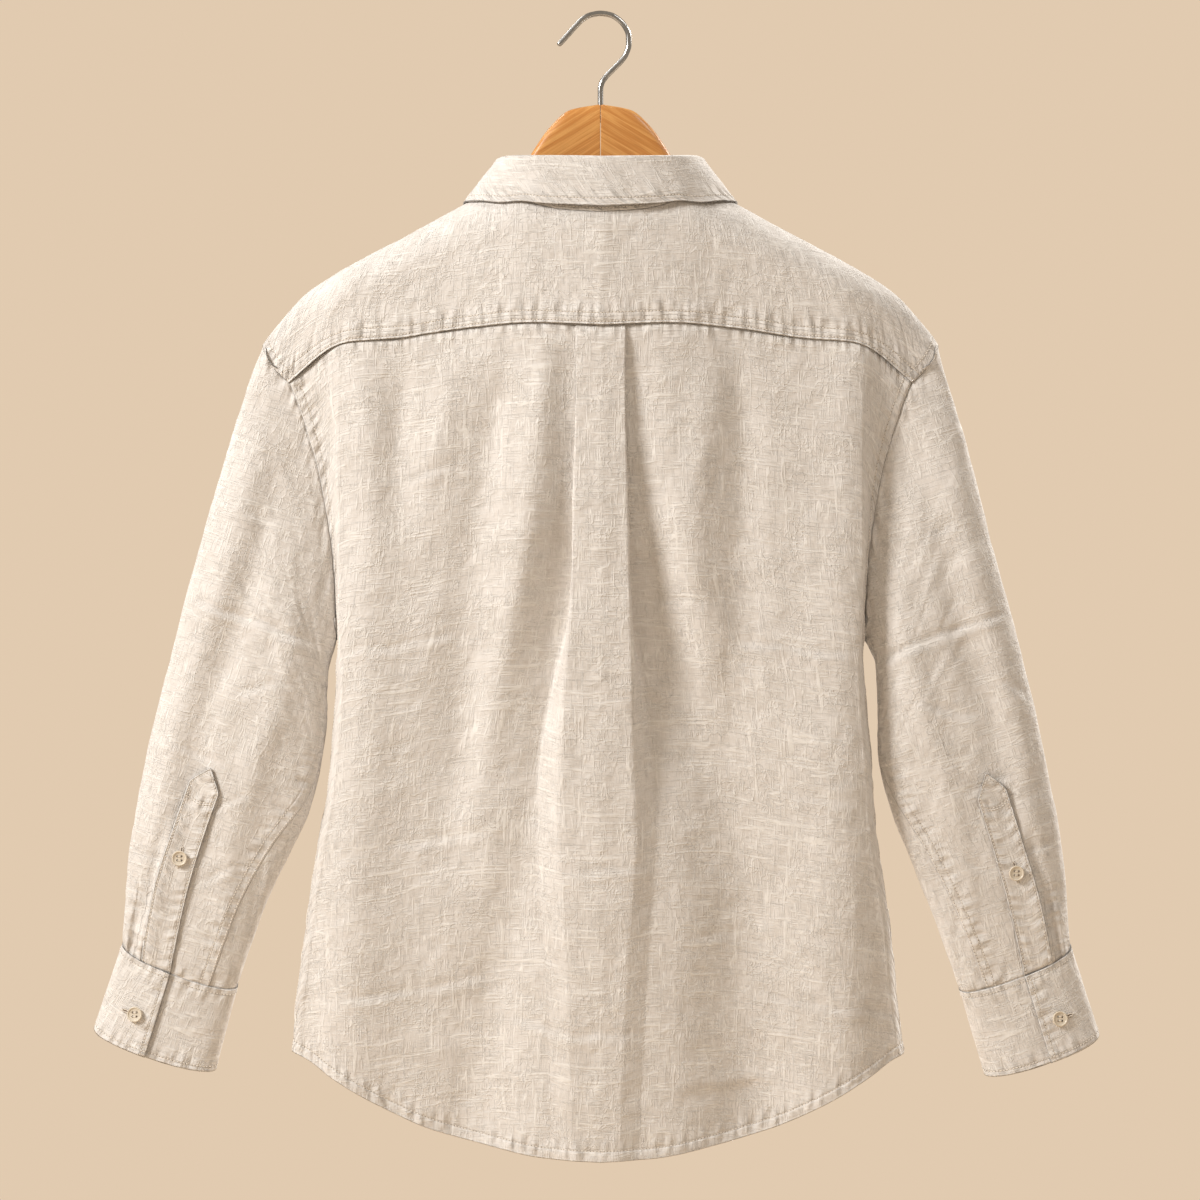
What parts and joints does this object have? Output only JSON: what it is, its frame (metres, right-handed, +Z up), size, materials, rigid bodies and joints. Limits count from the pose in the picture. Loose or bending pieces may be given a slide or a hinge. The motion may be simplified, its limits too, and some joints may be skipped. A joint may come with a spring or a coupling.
{
  "type": "linen shirt on a wooden hanger",
  "caption": "Long-sleeved linen shirt with a box-pleated back and a shirt-tail hem, buttoned up and hung on a wooden hanger with a wire hook.",
  "frame": {"origin": "inner side of the hook's crown, where a rail carries the hanger", "axes": "+Z up, +Y out of the shirt's back, -Y out of its buttoned front, +X to the wearer's left"},
  "size_m": [0.8307, 0.1104, 0.9449],
  "materials": {
    "linen": "plain-woven slubby linen, matt",
    "button": "satin, cream",
    "hanger_wood": "satin clear lacquer over honey wood",
    "hook_steel": "polished wire"
  },
  "bodies": {
    "root": {"back_panel": "linen", "yoke": "linen", "front_left": "linen", "front_right": "linen", "front_band": "linen", "collar_stand": "linen", "collar_leaf": "linen", "sleeve_left": "linen", "sleeve_right": "linen", "sleeve_placket_left": "linen", "sleeve_placket_right": "linen", "cuff_left": "linen", "cuff_right": "linen", "button_front_1": "button", "button_front_2": "button", "button_front_3": "button", "button_front_4": "button", "button_front_5": "button", "button_front_6": "button", "button_front_7": "button", "button_placket_left": "button", "button_placket_right": "button", "button_cuff_left": "button", "button_cuff_right": "button", "hanger_wood_left": "hanger_wood", "hanger_wood_right": "hanger_wood", "hanger_hook": "hook_steel"}
  },
  "joints": []
}
